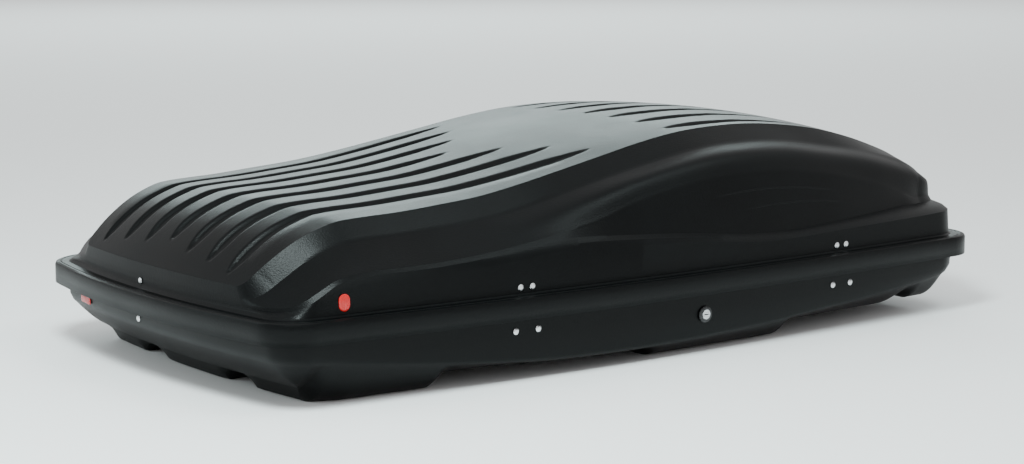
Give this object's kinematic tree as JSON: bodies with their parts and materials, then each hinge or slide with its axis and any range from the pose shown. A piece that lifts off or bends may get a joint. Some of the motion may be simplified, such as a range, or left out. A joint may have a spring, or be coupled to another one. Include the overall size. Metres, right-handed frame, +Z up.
{
  "type": "roof cargo box",
  "caption": "Hard-shell car roof box with a side-opening hinged lid, key lock with sliding latch rod, folding lid stays and U-bolt clamps for roof bars.",
  "frame": {"origin": "under the middle of the box, on the surface that it stands on", "axes": "+X from the nose to the tail, +Y towards the hinge side, +Z up"},
  "size_m": [1.39, 0.7578, 0.336],
  "materials": {
    "black_abs": "satin, fine grain",
    "black_nylon": "moulded, matt",
    "zinc_steel": "zinc plated",
    "rivet_aluminium": "satin"
  },
  "bodies": {
    "tray": {"front_hinge_pin": "zinc_steel", "front_hinge_side_bridge_plate": "zinc_steel", "front_hinge_side_u_bolt": "zinc_steel", "front_hinge_tray_leaf": "zinc_steel", "front_hinge_tray_rivet_a": "rivet_aluminium", "front_hinge_tray_rivet_b": "rivet_aluminium", "front_latch_housing": "black_nylon", "front_lock_side_bridge_plate": "zinc_steel", "front_lock_side_u_bolt": "zinc_steel", "front_stay_tray_stud": "rivet_aluminium", "front_tray_rivet_a": "rivet_aluminium", "front_tray_rivet_b": "rivet_aluminium", "lock_barrel": "black_nylon", "rear_hinge_pin": "zinc_steel", "rear_hinge_side_bridge_plate": "zinc_steel", "rear_hinge_side_u_bolt": "zinc_steel", "rear_hinge_tray_leaf": "zinc_steel", "rear_hinge_tray_rivet_a": "rivet_aluminium", "rear_hinge_tray_rivet_b": "rivet_aluminium", "rear_latch_housing": "black_nylon", "rear_lock_side_bridge_plate": "zinc_steel", "rear_lock_side_u_bolt": "zinc_steel", "rear_stay_tray_stud": "rivet_aluminium", "rear_tray_rivet_a": "rivet_aluminium", "rear_tray_rivet_b": "rivet_aluminium", "tray_shell": "black_abs"},
    "lid": {"front_hinge_lid_leaf": "zinc_steel", "front_hinge_lid_rivet_a": "rivet_aluminium", "front_hinge_lid_rivet_b": "rivet_aluminium", "front_lid_rivet_a": "rivet_aluminium", "front_lid_rivet_b": "rivet_aluminium", "front_stay_lid_stud": "rivet_aluminium", "front_striker": "zinc_steel", "lid_shell": "black_abs", "rear_hinge_lid_leaf": "zinc_steel", "rear_hinge_lid_rivet_a": "rivet_aluminium", "rear_hinge_lid_rivet_b": "rivet_aluminium", "rear_lid_rivet_a": "rivet_aluminium", "rear_lid_rivet_b": "rivet_aluminium", "rear_stay_lid_stud": "rivet_aluminium", "rear_striker": "zinc_steel"},
    "rod": {"locking_rod": "zinc_steel", "front_latch_finger": "zinc_steel", "rear_latch_finger": "zinc_steel"},
    "lock": {"lock_plug": "zinc_steel", "lock_cam": "zinc_steel"},
    "front_hinge_side_front_knob": {"front_hinge_side_front_knob": "black_nylon"},
    "front_hinge_side_rear_knob": {"front_hinge_side_rear_knob": "black_nylon"},
    "front_lock_side_front_knob": {"front_lock_side_front_knob": "black_nylon"},
    "front_lock_side_rear_knob": {"front_lock_side_rear_knob": "black_nylon"},
    "rear_hinge_side_front_knob": {"rear_hinge_side_front_knob": "black_nylon"},
    "rear_hinge_side_rear_knob": {"rear_hinge_side_rear_knob": "black_nylon"},
    "rear_lock_side_front_knob": {"rear_lock_side_front_knob": "black_nylon"},
    "rear_lock_side_rear_knob": {"rear_lock_side_rear_knob": "black_nylon"},
    "front_stay_tray_link": {"front_stay_tray_link": "zinc_steel", "front_stay_elbow_pin": "zinc_steel"},
    "front_stay_lid_link": {"front_stay_lid_link": "zinc_steel"},
    "rear_stay_tray_link": {"rear_stay_tray_link": "zinc_steel", "rear_stay_elbow_pin": "zinc_steel"},
    "rear_stay_lid_link": {"rear_stay_lid_link": "zinc_steel"}
  },
  "joints": [
    {"name": "lid_open", "type": "hinge", "parent": "tray", "child": "lid", "pos_m": [0, 0.3598, 0.101], "axis": [-1, 0, 0], "range_deg": [0, 50]},
    {"name": "front_stay_tray_pivot", "type": "hinge", "parent": "tray", "child": "front_stay_tray_link", "pos_m": [-0.646, 0.027, 0.082], "axis": [-1, 0, 0], "range_deg": [0, 63.25]},
    {"name": "front_stay_elbow", "type": "hinge", "parent": "front_stay_tray_link", "child": "front_stay_lid_link", "pos_m": [-0.646, -0.21145, 0.10925], "axis": [-1, 0, 0], "range_deg": [-74.08, 0]},
    {"name": "rear_stay_tray_pivot", "type": "hinge", "parent": "tray", "child": "rear_stay_tray_link", "pos_m": [0.646, 0.027, 0.082], "axis": [-1, 0, 0], "range_deg": [0, 63.25]},
    {"name": "rear_stay_elbow", "type": "hinge", "parent": "rear_stay_tray_link", "child": "rear_stay_lid_link", "pos_m": [0.646, -0.21145, 0.10925], "axis": [-1, 0, 0], "range_deg": [-74.08, 0]},
    {"name": "latch_rod_slide", "type": "slide", "parent": "tray", "child": "rod", "axis": [1, 0, 0], "range_m": [0, 0.014]},
    {"name": "lock_turn", "type": "hinge", "parent": "tray", "child": "lock", "pos_m": [0.0768, -0.35, 0.061], "axis": [0, 1, 0], "range_deg": [0, 90]},
    {"name": "front_lock_side_front_knob_turn", "type": "hinge", "parent": "tray", "child": "front_lock_side_front_knob", "pos_m": [-0.24, -0.215, 0.0318], "axis": [0, 0, 1], "continuous": true},
    {"name": "front_lock_side_rear_knob_turn", "type": "hinge", "parent": "tray", "child": "front_lock_side_rear_knob", "pos_m": [-0.16, -0.215, 0.0318], "axis": [0, 0, 1], "continuous": true},
    {"name": "front_hinge_side_front_knob_turn", "type": "hinge", "parent": "tray", "child": "front_hinge_side_front_knob", "pos_m": [-0.24, 0.215, 0.0318], "axis": [0, 0, 1], "continuous": true},
    {"name": "front_hinge_side_rear_knob_turn", "type": "hinge", "parent": "tray", "child": "front_hinge_side_rear_knob", "pos_m": [-0.16, 0.215, 0.0318], "axis": [0, 0, 1], "continuous": true},
    {"name": "rear_lock_side_front_knob_turn", "type": "hinge", "parent": "tray", "child": "rear_lock_side_front_knob", "pos_m": [0.38, -0.215, 0.0318], "axis": [0, 0, 1], "continuous": true},
    {"name": "rear_lock_side_rear_knob_turn", "type": "hinge", "parent": "tray", "child": "rear_lock_side_rear_knob", "pos_m": [0.46, -0.215, 0.0318], "axis": [0, 0, 1], "continuous": true},
    {"name": "rear_hinge_side_front_knob_turn", "type": "hinge", "parent": "tray", "child": "rear_hinge_side_front_knob", "pos_m": [0.38, 0.215, 0.0318], "axis": [0, 0, 1], "continuous": true},
    {"name": "rear_hinge_side_rear_knob_turn", "type": "hinge", "parent": "tray", "child": "rear_hinge_side_rear_knob", "pos_m": [0.46, 0.215, 0.0318], "axis": [0, 0, 1], "continuous": true}
  ],
  "couplings": [
    {"joint": "front_stay_tray_pivot", "follows": "lid_open", "ratio": 1.2649},
    {"joint": "front_stay_elbow", "follows": "lid_open", "ratio": -1.4815},
    {"joint": "rear_stay_tray_pivot", "follows": "lid_open", "ratio": 1.2649},
    {"joint": "rear_stay_elbow", "follows": "lid_open", "ratio": -1.4815},
    {"joint": "lock_turn", "follows": "latch_rod_slide", "rad_per_m": 112.2}
  ]
}
